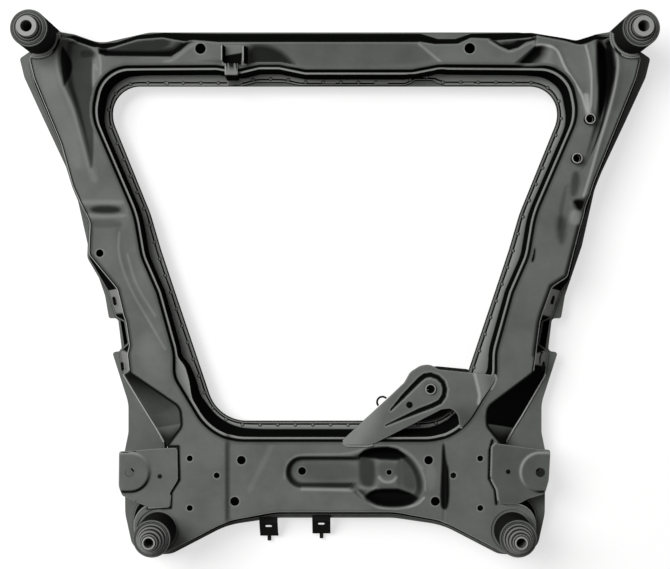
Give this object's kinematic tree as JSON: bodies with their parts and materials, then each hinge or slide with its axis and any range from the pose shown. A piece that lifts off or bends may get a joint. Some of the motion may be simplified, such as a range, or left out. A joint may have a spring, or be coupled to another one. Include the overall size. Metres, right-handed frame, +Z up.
{
  "type": "subframe",
  "caption": "Front subframe of a car: welded pressed-steel members round an open bay, with body mount bushes at the corners, control arm brackets and a torque rod bracket.",
  "frame": {"origin": "middle of the bounding box, on the floor that the part lies on", "axes": "+X to the right of the car, seen from above with the front at the top; +Y to the front; +Z up"},
  "size_m": [0.9666, 0.8157, 0.18],
  "materials": {
    "black_coat": "satin black dip coat",
    "bare_steel": "bare machined sleeve",
    "sleeve_steel": "phosphated sleeve",
    "rubber": "matt moulded rubber"
  },
  "bodies": {
    "root": {"front_crossmember_upper": "black_coat", "front_crossmember_lower": "black_coat", "rear_crossmember_upper": "black_coat", "rear_crossmember_lower": "black_coat", "left_side_member_upper": "black_coat", "left_side_member_lower": "black_coat", "right_side_member_upper": "black_coat", "right_side_member_lower": "black_coat", "left_front_mount_tube": "black_coat", "left_front_bush_outer_sleeve": "sleeve_steel", "left_front_bush_rubber": "rubber", "left_front_bush_inner_sleeve": "bare_steel", "left_rear_mount_tube": "black_coat", "left_rear_bush_outer_sleeve": "sleeve_steel", "left_rear_bush_rubber": "rubber", "left_rear_bush_inner_sleeve": "bare_steel", "left_arm_bracket": "black_coat", "left_arm_nut": "black_coat", "left_arm_side_nuts": "black_coat", "right_front_mount_tube": "black_coat", "right_front_bush_outer_sleeve": "sleeve_steel", "right_front_bush_rubber": "rubber", "right_front_bush_inner_sleeve": "bare_steel", "right_rear_mount_tube": "black_coat", "right_rear_bush_outer_sleeve": "sleeve_steel", "right_rear_bush_rubber": "rubber", "right_rear_bush_inner_sleeve": "bare_steel", "right_arm_bracket": "black_coat", "right_arm_nut": "black_coat", "right_arm_side_nuts": "black_coat", "steering_gear_nuts": "black_coat", "standoff_nuts": "black_coat", "torque_rod_bracket_upper": "black_coat", "torque_rod_bracket_lower": "black_coat", "torque_rod_nut": "black_coat", "torque_rod_collar": "black_coat", "bracket_hook": "black_coat", "hanger_bracket": "black_coat", "outer_clip": "black_coat", "inner_clip": "black_coat", "outer_clip_stud": "black_coat", "inner_clip_stud": "black_coat"}
  },
  "joints": []
}
